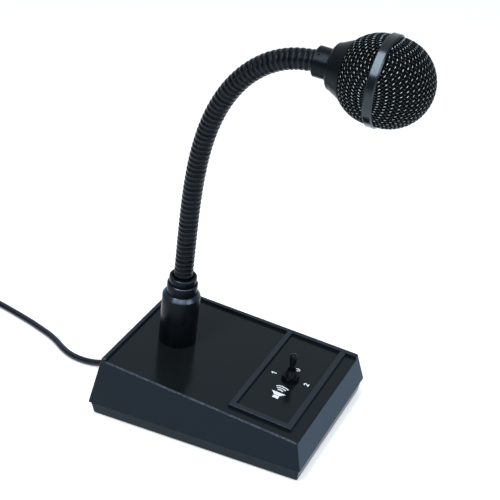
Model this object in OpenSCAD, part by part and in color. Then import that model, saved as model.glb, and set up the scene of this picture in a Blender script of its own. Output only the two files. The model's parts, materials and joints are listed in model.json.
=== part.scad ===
// Desktop paging microphone: a wedge case with a three-way toggle switch,
// a gooseneck on a stepped socket, and a ball head behind a woven wire grille.
// Millimetres, +Z up, the speaker sits on the -Y side.
// The origin is on the table, under the middle of the outline.

/* [Case] */
// Width at the parting line
case_w = 110; // [90:1:140]
// Length at the parting line
case_l = 154; // [130:1:190]
// Height of the parting line above the table
part_z = 10.6; // [9:0.2:16]
// Height of the deck's front edge
front_h = 29.8; // [24:0.2:40]
// Height of the deck's rear edge
rear_h = 44; // [34:0.5:60]
// Draft of the side walls in degrees
side_draft = 9.2; // [2:0.2:14]
// Draft of the rear wall in degrees
rear_draft = 13.8; // [2:0.2:18]
// Draft of the front wall in degrees
front_draft = 11.5; // [2:0.1:18]
// Wall thickness of both case halves
wall = 2.5; // [1.6:0.1:4]
// Radius of the upright corners
corner_r = 1; // [1:0.5:8]
// Chamfer round the deck's edge
edge_c = 0.8; // [0.2:0.1:2]
// Width of the raised rim along the rear and right edges
rim_w = 3.2; // [2:0.1:6]
// Height of the rim and of the switch frame above the deck
rim_h = 1.8; // [0.8:0.1:3]
// Step from the shell in to the tray at the parting line
tray_step = 1; // [0.4:0.1:2]
// Draft of the tray walls in degrees
tray_draft = 8.2; // [0:0.2:15]
// Diameter of a screw boss
boss_d = 8; // [6:0.5:12]
// Diameter of a case screw
screw_d = 3; // [2.5:0.5:4]
// Length of a case screw under its head
screw_l = 16; // [12:1:20]
// Diameter of a case screw's head
screw_head_d = 5.7; // [5:0.1:6]
// Thickness of a case screw's head
screw_head_t = 2.1; // [1.5:0.1:3]
// Length of the cross slot in a screw's head
slot_l = 3.4; // [2.5:0.1:4]
// Width of the cross slot in a screw's head
slot_w = 0.6; // [0.4:0.1:1]
// Diameter of a rubber foot
foot_d = 14; // [8:1:20]
// Height of a rubber foot
foot_h = 1.5; // [1:0.1:3]
// Chamfer under a rubber foot
foot_c = 0.5; // [0.2:0.1:0.9]
// Distance from a screw to its foot
foot_gap = 14; // [12:1:20]
// Ballast plate width
ballast_w = 72; // [50:1:74]
// Ballast plate length
ballast_l = 112; // [80:1:118]
// Ballast plate thickness
ballast_t = 5; // [2:0.5:6]

/* [Switch] */
// Left edge of the switch frame
frame_x = -44.2; // [-48:0.2:-30]
// Rear edge of the switch frame along the deck
frame_rear = -21.9; // [-30:0.1:-10]
// Front edge of the switch frame along the deck
frame_front = -65.4; // [-68:0.1:-58]
// Width of the frame's rear bar
bar_rear = 3.4; // [2:0.1:6]
// Width of the frame's front bar
bar_front = 3.8; // [2:0.1:6]
// Width of the frame's left bar
bar_left = 4; // [2:0.1:6]
// Switch centre, sideways
switch_x = 3; // [-20:0.5:20]
// Switch centre along the deck
switch_v = -44; // [-50:0.5:-38]
// Diameter of the threaded bushing
bushing_d = 6.8; // [6:0.1:9]
// Height of the bushing above the deck
bushing_h = 8; // [6:0.5:11]
// Bore of the bushing
bushing_bore = 5; // [4.6:0.1:5.4]
// Washer diameter
washer_d = 12.4; // [10:0.2:16]
// Washer thickness
washer_t = 0.7; // [0.4:0.1:1.5]
// Width of the hexagon nut across its flats
nut_w = 10; // [9:0.5:12]
// Thickness of the hexagon nut
nut_t = 2.4; // [1.5:0.1:4]
// Height of the lever's pivot above the deck
pivot_h = 5.5; // [4.5:0.1:6]
// Diameter of the lever's ball
ball_d = 4.4; // [3.6:0.1:4.4]
// Diameter of the lever's neck
lever_neck_d = 3; // [2:0.1:3.2]
// Diameter of the lever's tip
lever_tip_d = 5.2; // [3:0.1:6]
// Height of the lever's tip above the deck
lever_h = 20.8; // [15:0.2:26]
// Diameter of the lever's tail
lever_tail_d = 1.8; // [1.2:0.1:2]
// Length of the lever's tail below its pivot
lever_tail = 4.5; // [3:0.1:5]
// Switch body width
body_w = 12.8; // [10:0.1:16]
// Switch body length
body_l = 13.2; // [12:0.1:18]
// Switch body depth
body_h = 9.6; // [8:0.1:12]
// Solder lug width
lug_w = 2; // [1.5:0.1:2.5]
// Solder lug thickness
lug_t = 0.8; // [0.4:0.1:1]
// Solder lug length
lug_l = 4.5; // [3:0.1:5]
// Distance between solder lugs
lug_pitch = 4.7; // [4:0.1:5]

/* [Neck socket] */
// Centre of the socket along the deck
neck_v = 39.3; // [20:0.5:48]
// Column diameter
column_d = 25.4; // [18:0.2:32]
// Column height
column_h = 39; // [28:0.2:50]
// Width of the bevel on the column's top edge
bevel_w = 2.2; // [0.4:0.1:2.4]
// Height of the bevel on the column's top edge
bevel_h = 2.8; // [0.4:0.1:4]
// Bore of the column
column_bore = 13; // [11:0.5:15]
// Length of the collar's spigot in the column
spigot_l = 6; // [4:0.5:8]
// Diameter of the threaded stem under the deck
stem_d = 17; // [16:0.5:18]
// Length of the stem under the deck
stem_l = 10; // [8:0.5:14]
// Collar: diameter
ring_d = 20.4; // [18:0.1:22]
// Collar: height above the column
ring_h = 7.2; // [4:0.1:10]
// Collar: chamfer on its top edge
ring_c = 0.6; // [0.2:0.1:1]
// Neck cup: diameter
cup_d = 18.2; // [17.4:0.1:19.4]
// Neck cup: height above its groove
cup_h = 4.4; // [3:0.1:8]
// Neck cup: bore
cup_bore = 14.4; // [13.8:0.1:15]
// Groove between the collar and the cup
cup_groove = 0.8; // [0.4:0.1:1]
// Deck washer diameter
deck_washer_d = 28; // [24:1:34]
// Deck washer thickness
deck_washer_t = 1.2; // [0.8:0.1:2]
// Deck nut width across its flats
deck_nut_w = 24; // [22:1:28]
// Deck nut thickness
deck_nut_t = 5; // [3:0.5:6]

/* [Gooseneck] */
// Length from the cup to the head
neck_l = 205.8; // [150:0.2:280]
// Diameter over the ribs
neck_d = 12.7; // [12:0.1:13.4]
// Depth of the groove between two ribs
rib_depth = 0.5; // [0.3:0.05:0.8]
// Bore for the capsule's lead
neck_bore = 5.2; // [3:0.1:5.6]
// Diameter of the ball at each flexing place
link_ball_d = 8.6; // [8:0.1:8.8]
// Gap between a ball and its seat
link_gap = 0.3; // [0.2:0.05:0.4]
// Angle from vertical that the curve reaches under the head
neck_turn = 86.5; // [40:0.1:95]
// How late the curve turns over: higher is later
neck_curl = 2.82; // [1.5:0.01:4]
// Depth of the neck's plain end in the ferrule
shank_l = 6; // [4:0.5:6.5]

/* [Head] */
// Angle of the head's axis from vertical
head_turn = 95.5; // [60:0.5:120]
// Ferrule diameter
ferrule_d = 18; // [16:0.1:18.4]
// Ferrule length
ferrule_l = 9.2; // [8.6:0.1:12]
// Grub screw diameter
grub_d = 3; // [2:0.5:4]
// Width of the grub screw's key hole across its flats
grub_key = 1.5; // [1.2:0.1:1.8]
// Angle of the grub screw from the top of the ferrule
grub_turn = 40; // [0:5:180]
// How far the collar's edge stands in from the grille
collar_in = 0.3; // [0.1:0.1:1]
// Collar diameter behind its flare
flare_d = 27.7; // [22:0.1:30]
// Collar diameter at the ferrule
collar_small_d = 19; // [18.4:0.1:20]
// Length of the collar's rounded shoulder
collar_round = 3; // [2:0.1:4]
// Collar wall
collar_wall = 2; // [1.2:0.1:3]
// Collar length
collar_l = 10.4; // [8:0.1:14]
// Band diameter
band_d = 53.2; // [46:0.1:60]
// Step from the band in to the grille
band_step = 1; // [0.4:0.1:2]
// Grille wire diameter
wire_d = 0.56; // [0.4:0.02:0.7]
// Distance between grille wires
wire_pitch = 2.2; // [1.8:0.1:3]
// Angle of the grille wires to the head's upright plane
wire_turn = 45; // [0:5:90]
// Band width
band_w = 5.8; // [4:0.1:9]
// Depth of the rear dome from the band to the collar
rear_dome = 18.5; // [15:0.1:21]
// Capsule diameter
capsule_d = 20; // [12:0.5:24]
// Capsule length
capsule_l = 14; // [8:0.5:16]
// Capsule holder wall
holder_t = 1.2; // [0.8:0.1:2]

/* [Cord] */
// Cord diameter
cord_d = 4.8; // [4:0.1:5]
// Cord exit, sideways
cord_x = -4; // [-20:1:20]
// Cord exit above the table
cord_z = 6.4; // [6.2:0.1:6.6]
// Strain relief: diameter in the wall
relief_d = 6.2; // [5.8:0.1:6.4]
// Strain relief: diameter at its tip
relief_tip_d = 5.6; // [5.2:0.1:5.8]
// Strain relief: length outside the wall
relief_out = 8; // [6:0.5:12]
// Strain relief: length inside the wall
relief_in = 4; // [2:0.5:6]
// Turns in each layer of the coil
coil_turns = 4; // [2:1:6]
// Radius of the coil's outer turn
coil_r = 37; // [32:1:44]
// Distance between turns
coil_pitch = 5.25; // [5.2:0.05:5.8]
// Coil centre, sideways
coil_x = -10; // [-20:1:0]
// Coil centre behind the middle of the case
coil_y = 238; // [236:1:244]
// Tie thickness
tie_t = 0.8; // [0.5:0.1:1.2]
// Tie width
tie_w = 8; // [4:0.5:14]
// Straight run from the coil to the plug
plug_run = 30; // [16:1:50]
// Plug length without its pins
plug_l = 36; // [28:1:50]
// Diameter of the plug's tail
plug_tail_d = 7; // [6:0.1:9]
// Length of the plug's tail
plug_tail_l = 8; // [4:0.5:10]
// Length of the taper from the tail to the grip
plug_taper_l = 6; // [3:0.5:8]
// Plug shell diameter
plug_shell_d = 13.2; // [12:0.1:13.4]
// Plug shell length
plug_shell_l = 9; // [6:0.5:12]
// Plug shell wall
plug_shell_t = 0.6; // [0.4:0.1:1]
// Thickness of the face that carries the pins
plug_face_t = 1.5; // [1:0.1:3]
// Diameter of the circle of pins
pin_ring_d = 7; // [6:0.1:8]
// Plug pin diameter
pin_d = 1.4; // [1:0.1:1.8]
// Plug pin length
pin_l = 7.4; // [5:0.1:8]

/* [Hidden] */

// Clearance between pieces that seat on or in each other
fit = 0.1;
// Thickness of a disc that only marks a corner
skin = 0.01;
// How far a cut runs past the face that it opens
over = 1;
// How far a raised form is rooted in the piece that carries it
root = 0.6;
// Sides of a round corner, and of a turned piece
corner_fn = 32;
turn_fn = 64;
// Points on a rounded profile
arc_n = 8;
// Colours
case_c = [0.12, 0.13, 0.15];
black_c = [0.05, 0.05, 0.06];
rubber_c = [0.08, 0.08, 0.08];
steel_c = [0.62, 0.63, 0.65];
foam_c = [0.04, 0.04, 0.04];
blue_c = [0.1, 0.12, 0.3];

// Case outline at height z
function half_w(z) = case_w / 2 - (z - part_z) * tan(side_draft);
function rear_y(z) = case_l / 2 - (z - part_z) * tan(rear_draft);
function front_y(z) = -case_l / 2 + (z - part_z) * tan(front_draft);
// How far the tray's wall stands in from the parting line at height z
function tray_in(z) = tray_step + (part_z - z) * tan(tray_draft);

// Deck plane
slope = atan((rear_h - front_h) / (rear_y(rear_h) - front_y(front_h)));
deck_z = front_h - front_y(front_h) * tan(slope);
deck_rear = rear_y(rear_h) / cos(slope);
function deck_at(y) = deck_z + y * tan(slope);

// Screw bosses and feet, left and right, rear and front
boss_x = half_w(rear_h) - wall - boss_d / 2;
boss_rear = rear_y(rear_h) - wall - boss_d / 2;
boss_front = front_y(front_h) + wall + boss_d / 2;
boss_lap = 1;
boss_z = part_z - boss_lap;
boss_at = [for (sx = [-1, 1], y = [boss_rear, boss_front]) [sx * boss_x, y]];
foot_at = [for (sx = [-1, 1], y = [boss_rear - foot_gap, boss_front + foot_gap]) [sx * boss_x, y]];
floor_z = foot_h + wall;

// Gooseneck: straight links between flexing places, all in the plane x = 0
link_n = 15;
link_l = neck_l / link_n;
ribs = 3;
rib_pitch = link_l / (ribs + 1);
rib_z = rib_pitch / 2;
rib_top = link_l - rib_z;
rib_root_r = neck_d / 2 - rib_depth;
rib_n = 6;
shank_r = rib_root_r;
ferrule_bore_r = neck_d / 2 + fit;
// How far the neck's plain end is rooted in the last link
end_lap = 1.4;
ring_top = column_h + ring_h;
cup_floor = ring_top + root;
cup_top = ring_top + cup_groove + cup_h;
cup_shank_l = cup_top - cup_floor - root;
socket_y = neck_v * cos(slope);
socket_z = deck_z + neck_v * sin(slope);
neck_start = [socket_y - cup_top * sin(slope), socket_z + cup_top * cos(slope)];
function link_turn(k) = slope + (neck_turn - slope) * pow(k / (link_n - 1), neck_curl);
function link_at(k) = k == 0 ? neck_start
    : link_at(k - 1) + link_l * [-sin(link_turn(k - 1)), cos(link_turn(k - 1))];
head_at = link_at(link_n);

// Head, along its own axis from the end of the neck
collar_end = ferrule_l + collar_l;
band_rear = collar_end + rear_dome;
band_front = band_rear + band_w;
grille_d = band_d - 2 * band_step;
collar_d = 2 * (sqrt(pow(grille_d / 2, 2) - pow(rear_dome, 2)) - collar_in);
outer_wire_r = grille_d / 2 - wire_d / 2;
wire_fit = 0.02;
inner_wire_r = outer_wire_r - wire_d - wire_fit;
foam_r = inner_wire_r - wire_d / 2 - fit * 2;
band_bore_r = foam_r + fit;
// Wires lie a pitch apart over the dome, out to a last small hoop on each side
wire_step = wire_pitch / outer_wire_r * 180 / PI;
wire_reach = 82;
wire_n = floor(wire_reach / wire_step);
wire_gap = wire_d;
holder_r = capsule_d / 2 + fit + holder_t;
capsule_z = band_rear + band_w / 2 - capsule_l / 2;

grub_l = ferrule_d / 2 - shank_r - 4 * fit;

// The outline without its cord runs from the grille's tip to the case's rear edge
tip_y = head_at[0] - band_front * sin(head_turn) - grille_d / 2;
base_y = -(tip_y + case_l / 2) / 2;

// Cord: route on the table, then a two-layer coil that spirals in and out again
cord_r = cord_d / 2;
cord_sides = 8;
coil_sides = 6;
coil_steps = 24;
relief_y = rear_y(part_z) - tray_in(cord_z);
cord_start = relief_y + relief_out;
coil_z = cord_r + tie_t;
coil_in_r = coil_r - coil_turns * coil_pitch;
coil_start = [coil_x + coil_r, coil_y - cord_d, coil_z];
cord_route = [
    [cord_x, cord_start, cord_z],
    [cord_x, cord_start + 1, cord_z],
    [cord_x - 0.2, cord_start + 4, cord_z - 0.5],
    [-5, 94, cord_r + 1.8],
    [-6.4, 101, cord_r + 0.4],
    [-7.4, 108, cord_r],
    [-7.4, 116, cord_r],
    [-5.6, 124.5, cord_r],
    [-1.8, 133, cord_r],
    [3, 141, cord_r],
    [7.4, 150, cord_r],
    [11, 160, cord_r],
    [14.4, 170, cord_r],
    [17.6, 181, cord_r],
    [20.6, 192, cord_r],
    [23.4, 203, cord_r],
    [25.5, 213, cord_r + 0.2],
    [26.6, 223, coil_z - 0.2],
    [coil_x + coil_r, coil_y - cord_d - 1, coil_z],
    coil_start
];
// The coil at a count of turns: angle, radius and height
function coil_rad(t) = coil_in_r + coil_pitch * abs(t - coil_turns);
function ease(t) = t <= 0 ? 0 : t >= 1 ? 1 : t * t * (3 - 2 * t);
function coil_pt(t) = [
    coil_x + coil_rad(t) * cos(360 * t),
    coil_y + coil_rad(t) * sin(360 * t),
    coil_z + coil_pitch * ease((t - coil_turns + 0.25) * 2)
];
// The last turn stops half way round, and the end runs out straight to the plug
coil_end = 2 * coil_turns - 0.5;
plug_x = coil_x - coil_rad(coil_end);
plug_z = coil_z + coil_pitch;
plug_at = [plug_x, coil_y - plug_run, plug_z];
coil_path = concat(
    [coil_start],
    [for (i = [0:coil_end * coil_steps]) coil_pt(i / coil_steps)],
    [for (s = [0.25, 0.5, 0.75]) [plug_x, coil_y - plug_run * s, plug_z]],
    [plug_at]
);
// Least gap of the coil to itself, on points at least half a turn apart
coil_gap = min([for (i = [0:len(coil_path) - 1]) each
    [for (j = [i + coil_steps / 2:len(coil_path) - 1]) norm(coil_path[i] - coil_path[j]) - cord_d]]);
echo(coil_gap = coil_gap);
function path_len(p, i = 1) = i >= len(p) ? 0 : norm(p[i] - p[i - 1]) + path_len(p, i + 1);
echo(cord_length = path_len(cord_route) + path_len(coil_path));
echo(head_at = head_at, base_y = base_y, slope = slope);
echo(links = [for (k = [0:link_n])
    [link_at(k)[0] + base_y, link_at(k)[1], k < link_n ? link_turn(k) : head_turn]]);

// Points on a circle in a turned profile, from angle a0 to a1
function arc(c, r, a0, a1, n) = [for (i = [0:n]) let (a = a0 + (a1 - a0) * i / n) c + r * [cos(a), sin(a)]];

// Frames
module on_case() translate([0, base_y, 0]) children();
module on_deck() on_case() translate([0, 0, deck_z]) rotate([slope, 0, 0]) children();
module on_switch() on_deck() translate([switch_x, switch_v, 0]) children();
module on_socket() on_deck() translate([0, neck_v, 0]) children();
module on_link(k) on_case()
    translate([0, link_at(k)[0], link_at(k)[1]]) rotate([link_turn(k), 0, 0]) children();
module on_head() on_case() translate([0, head_at[0], head_at[1]]) rotate([head_turn, 0, 0]) children();

module turned(points) rotate_extrude($fn = turn_fn) polygon(points);
module pipe(d, bore, h) difference() {
    cylinder(d = d, h = h, $fn = turn_fn);
    translate([0, 0, -over]) cylinder(d = bore, h = h + 2 * over, $fn = turn_fn);
}
module hexagon(w, h) cylinder(d = w / cos(30), h = h, $fn = 6);

// A tube of one skin along a path
function side_of(t) = cross(t, [0, 0, 1]) / norm(cross(t, [0, 0, 1]));
function path_dir(p, i) = let (d = p[min(i + 1, len(p) - 1)] - p[max(i - 1, 0)]) d / norm(d);
module tube(p, r, sides) {
    rings = [for (i = [0:len(p) - 1]) let (t = path_dir(p, i), s = side_of(t), u = cross(s, t))
        each [for (j = [0:sides - 1]) p[i] + r * (cos(360 * j / sides) * s + sin(360 * j / sides) * u)]];
    last = (len(p) - 1) * sides;
    walls = [for (i = [0:len(p) - 2], j = [0:sides - 1])
        let (a = i * sides + j, b = i * sides + (j + 1) % sides)
        each [[a, b, b + sides], [a, b + sides, a + sides]]];
    caps = [for (j = [1:sides - 2]) each [[0, j + 1, j], [last, last + j, last + j + 1]]];
    polyhedron(rings, [for (f = concat(walls, caps)) [f[0], f[2], f[1]]]);
}

// A thin disc in one corner of the case, level or lying in the deck's plane
module corner_disc(sx, rear, z, inset, place_r, draw_r, tilted) {
    y = rear ? rear_y(z) - inset - place_r : front_y(z) + inset + place_r;
    lift = tilted ? (rear ? -1 : 1) * (inset + place_r) * tan(slope) : 0;
    translate([sx * (half_w(z) - inset - place_r), y, z + lift])
        rotate([tilted ? slope : 0, 0, 0])
            translate([0, 0, tilted ? -skin : 0])
                cylinder(r = draw_r, h = skin, $fn = corner_fn);
}

// The space inside the case walls, moved in by inset, from z0 up to the deck moved up by rise
module case_block(z0, inset, rise, chamfer) {
    r = max(corner_r - inset, edge_c + skin);
    hull()
        for (sx = [-1, 1], rear = [false, true]) {
            top = (rear ? rear_h : front_h) + rise;
            corner_disc(sx, rear, z0, inset, r, r, false);
            corner_disc(sx, rear, top - chamfer, inset, r, r, true);
            corner_disc(sx, rear, top, inset, r, r - chamfer, true);
        }
}

// The space inside the tray's outer wall, moved in by inset
module tray_block(z0, z1, inset)
    hull()
        for (z = [z0, z1 - skin], sx = [-1, 1], sy = [-1, 1]) {
            r = max(corner_r - inset, edge_c);
            back = tray_in(z) + inset + r;
            translate([sx * (case_w / 2 - back), sy * (case_l / 2 - back), z])
                cylinder(r = r, h = skin, $fn = corner_fn);
        }

module bottom_tray() color(case_c) on_case()
    difference() {
        union() {
            difference() {
                tray_block(foot_h, part_z - fit, 0);
                tray_block(floor_z, part_z + over, wall);
            }
            for (p = boss_at)
                translate([p[0], p[1], foot_h + root])
                    cylinder(d = boss_d, h = boss_z - foot_h - root, $fn = turn_fn);
        }
        for (p = boss_at) translate([p[0], p[1], 0]) {
            cylinder(d = screw_d + 2 * fit, h = part_z + over, $fn = turn_fn);
            cylinder(d = screw_head_d + 4 * fit, h = foot_h + screw_head_t + 2 * fit, $fn = turn_fn);
        }
        translate([cord_x, case_l / 2 + over, cord_z]) rotate([90, 0, 0])
            cylinder(d = relief_d + fit, h = 2 * wall + tray_in(0) + 2 * over, $fn = turn_fn);
    }

// Rim along the rear and right edges, in plan on the deck
module rim_plan() {
    far = case_w + case_l;
    polygon([
        [half_w(front_h) - rim_w, -far],
        [half_w(rear_h) - rim_w, deck_rear - rim_w],
        [-far, deck_rear - rim_w],
        [-far, far],
        [far, far],
        [far, -far]
    ]);
}

// Raised frame round the switch field, which ends in the right-hand rim
module frame_plan() {
    right = half_w(rear_h) - rim_w + root;
    difference() {
        translate([frame_x, frame_front]) square([right - frame_x, frame_rear - frame_front]);
        translate([frame_x + bar_left, frame_front + bar_front])
            square([case_w, frame_rear - frame_front - bar_front - bar_rear]);
    }
}

module on_plain_deck() translate([0, 0, deck_z]) rotate([slope, 0, 0]) children();

module top_shell() color(case_c) on_case()
    difference() {
        union() {
            difference() {
                case_block(part_z, 0, 0, edge_c);
                case_block(part_z - over, wall, -wall, 0);
            }
            intersection() {
                case_block(part_z, 0, rim_h, edge_c);
                on_plain_deck() translate([0, 0, -root]) linear_extrude(rim_h + 2 * root) rim_plan();
            }
            on_plain_deck() translate([0, 0, -root]) linear_extrude(rim_h + root) frame_plan();
            for (p = boss_at)
                translate([p[0], p[1], boss_z + fit])
                    cylinder(d = boss_d, h = deck_at(p[1]) - wall / 2 - boss_z - fit, $fn = turn_fn);
        }
        for (p = boss_at)
            translate([p[0], p[1], 0])
                cylinder(d = screw_d + fit, h = foot_h + screw_head_t + screw_l + over, $fn = turn_fn);
        on_plain_deck() {
            translate([switch_x, switch_v, -wall - over])
                cylinder(d = bushing_d + 2 * fit, h = wall + 2 * over, $fn = turn_fn);
            translate([0, neck_v, -wall - over])
                cylinder(d = stem_d + 2 * fit, h = wall + 2 * over, $fn = turn_fn);
        }
    }

module rubber_feet() color(rubber_c) on_case()
    for (p = foot_at)
        translate([p[0], p[1], 0])
            turned([
                [0, 0], [foot_d / 2 - foot_c, 0], [foot_d / 2, foot_c], [foot_d / 2, foot_h], [0, foot_h]
            ]);

module case_screws() color(steel_c) on_case()
    for (p = boss_at)
        translate([p[0], p[1], foot_h + fit]) {
            difference() {
                cylinder(d = screw_head_d, h = screw_head_t, $fn = turn_fn);
                for (a = [0, 90]) rotate(a)
                    cube([slot_l, slot_w, screw_head_t], center = true);
            }
            translate([0, 0, screw_head_t - skin]) cylinder(d = screw_d - fit, h = screw_l, $fn = turn_fn);
        }

module ballast_plate() color(steel_c) on_case()
    translate([-ballast_w / 2, -ballast_l / 2, floor_z]) cube([ballast_w, ballast_l, ballast_t]);

module switch_body() color(blue_c) on_switch()
    translate([-body_w / 2, -body_l / 2, -wall - body_h]) cube([body_w, body_l, body_h]);

module switch_bushing() color(steel_c) on_switch()
    translate([0, 0, -wall]) pipe(bushing_d, bushing_bore, wall + bushing_h);

module switch_washer() color(steel_c) on_switch() pipe(washer_d, bushing_d + 2 * fit, washer_t);

module switch_nut() color(steel_c) on_switch()
    translate([0, 0, washer_t])
        difference() {
            hexagon(nut_w, nut_t);
            translate([0, 0, -over]) cylinder(d = bushing_d + 2 * fit, h = nut_t + 2 * over, $fn = turn_fn);
        }

// Bat lever: tail, ball, waist and a tip that swells to a round end
module switch_lever() color(steel_c) on_switch()
    translate([0, 0, pivot_h]) {
        tail_r = lever_tail_d / 2;
        tip_r = lever_tip_d / 2;
        tip_z = lever_h - pivot_h - tip_r;
        turned(concat(
            [[0, -lever_tail], [tail_r, -lever_tail]],
            arc([0, 0], ball_d / 2, -acos(tail_r / (ball_d / 2)), acos(lever_neck_d / ball_d), arc_n),
            [[lever_neck_d / 2, bushing_h - pivot_h + root]],
            arc([0, tip_z], tip_r, -8, 90, arc_n)
        ));
    }

module switch_terminals() color(steel_c) on_switch()
    for (i = [-1, 0, 1], j = [-0.5, 0.5])
        translate([j * lug_pitch - lug_w / 2, i * lug_pitch - lug_t / 2, -wall - body_h - lug_l])
            cube([lug_w, lug_t, lug_l]);

module neck_column() color(black_c) on_socket()
    turned([
        [column_bore / 2, -wall - stem_l],
        [stem_d / 2, -wall - stem_l],
        [stem_d / 2, 0],
        [column_d / 2, 0],
        [column_d / 2, column_h - bevel_h],
        [column_d / 2 - bevel_w, column_h],
        [column_bore / 2, column_h]
    ]);

module neck_collar() color(black_c) on_socket() {
    spigot_r = column_bore / 2 - fit;
    lead_r = neck_bore / 2;
    turned([
        [lead_r, column_h - spigot_l],
        [spigot_r, column_h - spigot_l],
        [spigot_r, column_h],
        [ring_d / 2, column_h],
        [ring_d / 2, ring_top - ring_c],
        [ring_d / 2 - ring_c, ring_top],
        [lead_r, ring_top]
    ]);
}

module neck_cup() color(black_c) on_socket() {
    lead_r = neck_bore / 2;
    turned([
        [lead_r, ring_top],
        [cup_d / 2 - cup_groove, ring_top],
        [cup_d / 2 - cup_groove, ring_top + cup_groove],
        [cup_d / 2, ring_top + cup_groove],
        [cup_d / 2, cup_top - cup_groove / 2],
        [cup_d / 2 - cup_groove / 2, cup_top],
        [cup_bore / 2, cup_top],
        [cup_bore / 2, cup_floor],
        [lead_r, cup_floor]
    ]);
}

module deck_washer() color(steel_c) on_socket()
    translate([0, 0, -wall - fit - deck_washer_t]) pipe(deck_washer_d, stem_d + 2 * fit, deck_washer_t);

module deck_nut() color(steel_c) on_socket()
    translate([0, 0, -wall - fit - deck_washer_t - deck_nut_t])
        difference() {
            hexagon(deck_nut_w, deck_nut_t);
            translate([0, 0, -over])
                cylinder(d = stem_d + 2 * fit, h = deck_nut_t + 2 * over, $fn = turn_fn);
        }

// Profile of a link: the ball at its lower flexing place, and the ribs above it
function link_ball() = let (ball_r = link_ball_d / 2) concat(
    arc([0, 0], ball_r, -acos(neck_bore / link_ball_d), asin(rib_z / ball_r), arc_n),
    [[rib_root_r, rib_z]]
);
function link_ribs() = [for (i = [0:ribs - 1], j = [0:rib_n - 1]) if (i + j > 0)
    [rib_root_r + rib_depth * sin(180 * j / rib_n), rib_z + (i + j / rib_n) * rib_pitch]];

// One link of the gooseneck, bored through, with a seat for the next link's ball;
// the first one has a plain end in the cup in place of its ball
module neck_link(k) color(black_c) on_link(k) {
    bore_r = neck_bore / 2;
    seat_r = link_ball_d / 2 + link_gap;
    low = k > 0 ? link_ball() : [[bore_r, -cup_shank_l], [shank_r, -cup_shank_l], [shank_r, rib_z]];
    seat = arc([0, link_l], seat_r, -asin(rib_z / seat_r), -acos(bore_r / seat_r), arc_n);
    turned(concat(low, link_ribs(), [[rib_root_r, rib_top]], seat));
}

// The last link, whose plain end turns into the ferrule
module neck_end() color(black_c) {
    on_link(link_n - 1)
        turned(concat(
            link_ball(),
            link_ribs(),
            [[shank_r, rib_top], [shank_r, link_l], [neck_bore / 2, link_l]]
        ));
    on_head() translate([0, 0, -end_lap])
        pipe(2 * shank_r - root, neck_bore + 2 * root, shank_l + end_lap);
}

module head_ferrule() color(black_c) on_head()
    difference() {
        turned([
            [neck_bore / 2, shank_l + root],
            [ferrule_bore_r, shank_l + root],
            [ferrule_bore_r, 0],
            [ferrule_d / 2 - root, 0],
            [ferrule_d / 2, root],
            [ferrule_d / 2, ferrule_l],
            [neck_bore / 2, ferrule_l]
        ]);
        translate([0, 0, shank_l / 2]) rotate([90, 0, 180 + grub_turn])
            cylinder(d = grub_d + fit, h = ferrule_d, $fn = turn_fn);
    }

module grub_screw() color(steel_c) on_head()
    translate([0, 0, shank_l / 2]) rotate([90, 0, 180 + grub_turn])
        translate([0, 0, shank_r + fit])
            difference() {
                cylinder(d = grub_d - fit, h = grub_l, $fn = turn_fn);
                translate([0, 0, grub_l - grub_key / 2]) hexagon(grub_key, grub_key);
            }

module head_collar() color(black_c) on_head() {
    floor_z = ferrule_l + collar_round + collar_wall;
    turned(concat(
        [[neck_bore / 2, ferrule_l], [collar_small_d / 2, ferrule_l]],
        [for (i = [0:arc_n]) [
            collar_small_d / 2 + (flare_d - collar_small_d) / 2 * sin(90 * i / arc_n),
            ferrule_l + collar_round * (1 - cos(90 * i / arc_n))
        ]],
        [[collar_d / 2, collar_end], [collar_d / 2 - collar_wall, collar_end]],
        [[flare_d / 2 - collar_wall, floor_z], [neck_bore / 2, floor_z]]
    ));
}

// One wire of the grille: part of a circle that bulges towards +Y in its own plane
module wire_arc(ring_r, from, to)
    rotate(from) rotate_extrude(angle = to - from, $fn = turn_fn)
        translate([ring_r, 0]) circle(d = wire_d, $fn = 6);

// One layer of wires in parallel planes over a dome that is cut off at a depth
module wire_layer(layer_r, depth)
    for (i = [-wire_n:wire_n]) {
        ring_r = layer_r * cos(i * wire_step);
        translate([0, 0, layer_r * sin(i * wire_step)])
            if (ring_r <= depth) {
                wire_arc(ring_r, 0, 180);
            } else {
                reach = asin(depth / ring_r);
                wire_arc(ring_r, 0, reach);
                wire_arc(ring_r, 180 - reach, 180);
            }
    }

// Two crossing layers of wires, one just inside the other, on each side of the band
module on_rear_dome() on_head() translate([0, 0, band_rear]) rotate([180, 0, 0]) children();
module on_front_dome() on_head() translate([0, 0, band_front]) children();

module rear_grille_warp() color(black_c) on_rear_dome()
    rotate([90, 0, wire_turn + 90]) wire_layer(outer_wire_r, rear_dome - wire_gap);

module rear_grille_weft() color(black_c) on_rear_dome()
    rotate([90, 0, wire_turn]) wire_layer(inner_wire_r, rear_dome - wire_gap);

module front_grille_warp() color(black_c) on_front_dome()
    rotate([90, 0, wire_turn + 90]) wire_layer(outer_wire_r, grille_d);

module front_grille_weft() color(black_c) on_front_dome()
    rotate([90, 0, wire_turn]) wire_layer(inner_wire_r, grille_d);

module grille_band() color(black_c) on_head()
    turned([
        [band_bore_r, band_rear],
        [band_d / 2 - edge_c, band_rear],
        [band_d / 2, band_rear + edge_c],
        [band_d / 2, band_front - edge_c],
        [band_d / 2 - edge_c, band_front],
        [band_bore_r, band_front]
    ]);

module foam_liner() color(foam_c) on_head() {
    core_r = holder_r + fit * 2;
    core_z = capsule_z + capsule_l + fit * 2;
    cut = rear_dome - wire_gap;
    turned(concat(
        [[core_r, band_rear - cut]],
        arc([0, band_rear], foam_r, -asin(cut / foam_r), 0, arc_n * 2),
        arc([0, band_front], foam_r, 0, 90, arc_n * 3),
        [[0, core_z], [core_r, core_z]]
    ));
}

module capsule() color(steel_c) on_head()
    translate([0, 0, capsule_z]) cylinder(d = capsule_d, h = capsule_l, $fn = turn_fn);

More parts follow.
